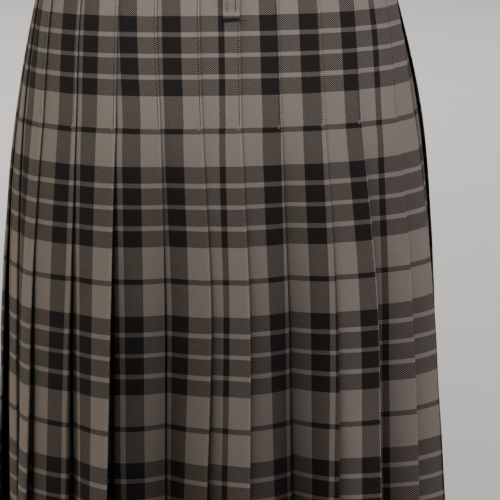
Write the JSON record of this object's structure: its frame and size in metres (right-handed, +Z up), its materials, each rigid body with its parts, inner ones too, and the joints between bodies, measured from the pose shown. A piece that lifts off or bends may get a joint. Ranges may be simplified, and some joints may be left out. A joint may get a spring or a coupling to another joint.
{
  "type": "scottish kilt, worn form, knife-pleated back with fastened aprons",
  "caption": "Worn tartan kilt kept hollow: knife-pleated back stitched to the hip, flat overlapping aprons, waistband, belt loops, side straps and buckles.",
  "frame": {"origin": "middle of the waist opening, level with the top edge of the cloth", "axes": "+Z up, the pleated back faces +Y, the aprons face -Y, +X is the wearer's left"},
  "size_m": [0.4421, 0.3247, 0.6114],
  "materials": {
    "tartan": "matt worsted twill in grey and black checks",
    "strap_leather": "satin black",
    "buckle_metal": "polished nickel"
  },
  "bodies": {
    "root": {"pleats_left_side": "tartan", "pleats_left_back": "tartan", "pleats_right_back": "tartan", "pleats_right_side": "tartan", "over_apron": "tartan", "under_apron": "tartan", "band_over": "tartan", "band_under": "tartan", "band_back": "tartan", "loop_back": "tartan", "loop_front_left": "tartan", "loop_front_right": "tartan", "strap_right": "strap_leather", "strap_left": "strap_leather", "buckle_tab_right": "strap_leather", "buckle_tab_left": "strap_leather", "keeper_right": "strap_leather", "keeper_left": "strap_leather", "buckle_right": "buckle_metal", "buckle_left": "buckle_metal", "buckle_tongue_right": "buckle_metal", "buckle_tongue_left": "buckle_metal"}
  },
  "joints": []
}
